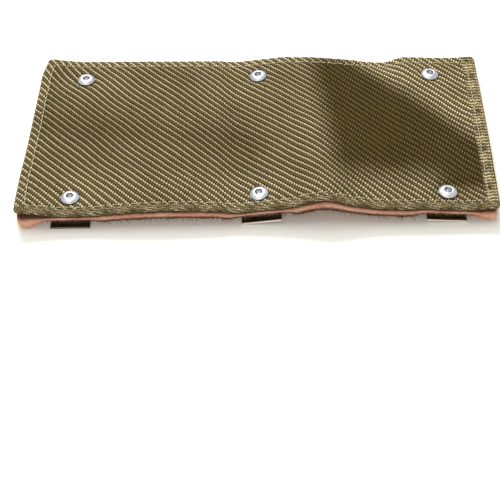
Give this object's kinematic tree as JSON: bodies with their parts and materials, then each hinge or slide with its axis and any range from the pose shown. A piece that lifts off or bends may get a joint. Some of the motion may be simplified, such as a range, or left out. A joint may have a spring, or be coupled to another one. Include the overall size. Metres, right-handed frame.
{
  "type": "exhaust pipe heat shield",
  "caption": "Flexible heat shield pad for an exhaust pipe: a twill cover hemmed over needled felt, riveted to slotted stand-off straps that take clamp bands.",
  "frame": {"origin": "middle of the outline, at the level of the strap feet's undersides", "axes": "+X along the shield's length, -Y towards its near edge, +Z away from the pipe"},
  "size_m": [0.3048, 0.1524, 0.0242],
  "materials": {
    "cover_fabric": "coarse two by two twill of glossy bronze-olive mineral yarn",
    "felt": "needled felt, orange-pink, with a ragged cut edge",
    "thread": "twisted pale tan sewing thread",
    "strap_steel": "stainless strip, satin, with bright sheared edges",
    "rivet_aluminium": "bright, lightly scuffed",
    "mandrel_steel": "dull, broken at its end"
  },
  "bodies": {
    "root": {"outer_cover": "cover_fabric", "insulation_felt": "felt", "needle_thread": "thread", "bobbin_thread": "thread", "strap_left": "strap_steel", "strap_centre": "strap_steel", "strap_right": "strap_steel", "rivet_left_near": "rivet_aluminium", "rivet_left_far": "rivet_aluminium", "rivet_centre_near": "rivet_aluminium", "rivet_centre_far": "rivet_aluminium", "rivet_right_near": "rivet_aluminium", "rivet_right_far": "rivet_aluminium", "mandrel_left_near": "mandrel_steel", "mandrel_left_far": "mandrel_steel", "mandrel_centre_near": "mandrel_steel", "mandrel_centre_far": "mandrel_steel", "mandrel_right_near": "mandrel_steel", "mandrel_right_far": "mandrel_steel"}
  },
  "joints": []
}
